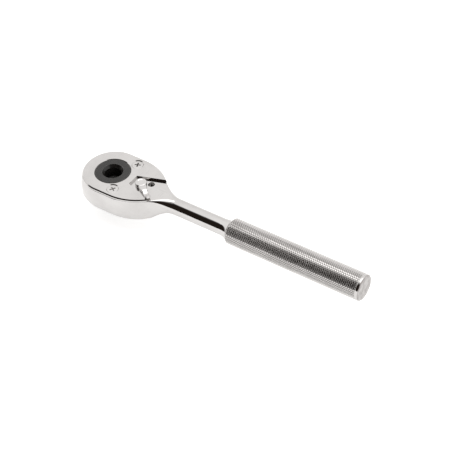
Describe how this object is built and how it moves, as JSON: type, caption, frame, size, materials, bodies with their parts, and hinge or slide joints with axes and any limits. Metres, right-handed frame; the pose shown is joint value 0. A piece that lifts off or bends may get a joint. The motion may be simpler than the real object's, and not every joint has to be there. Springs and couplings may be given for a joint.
{
  "type": "ratchet wrench",
  "caption": "Pear-head ratchet wrench with a square drive, a reversing lever on top and a knurled round handle.",
  "frame": {"origin": "centre of the drive square's end face, on the drive axis", "axes": "+X from the drive axis along the handle, +Z along the drive axis from the square's end towards the cover plate and lever"},
  "size_m": [0.1801, 0.037, 0.0261],
  "materials": {
    "chrome_body": "polished",
    "chrome_plate": "polished",
    "chrome_small": "polished",
    "black_oxide": "satin black oxide",
    "plain_steel": "ground"
  },
  "bodies": {
    "housing": {"body": "chrome_body", "cover_plate": "chrome_plate", "cover_screws": "chrome_small"},
    "drive": {"drive_gear": "black_oxide", "drive_spring": "plain_steel"},
    "drive_detent": {"drive_ball": "plain_steel"},
    "reversing_lever": {"lever": "chrome_small", "lever_clip": "plain_steel", "lever_spring": "plain_steel", "pawl_spring": "plain_steel"},
    "lever_detent": {"lever_ball": "plain_steel"},
    "plunger": {"pawl_plunger": "plain_steel"},
    "rocker": {"pawl": "plain_steel"}
  },
  "joints": [
    {"name": "drive_spin", "type": "hinge", "parent": "housing", "child": "drive", "pos_m": [0, 0, 0], "axis": [0, 0, 1], "continuous": true},
    {"name": "drive_ball_press", "type": "slide", "parent": "drive", "child": "drive_detent", "axis": [0, 1, 0], "range_m": [0, 0.0007], "stiffness_N_per_m": 2000, "deforming": ["drive_spring"]},
    {"name": "lever_swing", "type": "hinge", "parent": "housing", "child": "reversing_lever", "pos_m": [0.0195, 0, 0.0245], "axis": [0, 0, 1], "range_deg": [0, 73.4]},
    {"name": "lever_ball_drop", "type": "slide", "parent": "reversing_lever", "child": "lever_detent", "axis": [0, 0, -1], "range_m": [0, 0.0004], "stiffness_N_per_m": 600, "deforming": ["lever_spring"]},
    {"name": "plunger_press", "type": "slide", "parent": "reversing_lever", "child": "plunger", "axis": [0.8018, -0.5976, 0], "range_m": [-0.0006, 0.0002], "stiffness_N_per_m": 1500, "deforming": ["pawl_spring"]},
    {"name": "pawl_rock", "type": "hinge", "parent": "housing", "child": "rocker", "pos_m": [0.0195, 0, 0.0167], "axis": [0, 0, 1], "range_deg": [-11, 0]}
  ],
  "couplings": [
    {"joint": "pawl_rock", "follows": "lever_swing", "ratio": -0.14986}
  ]
}
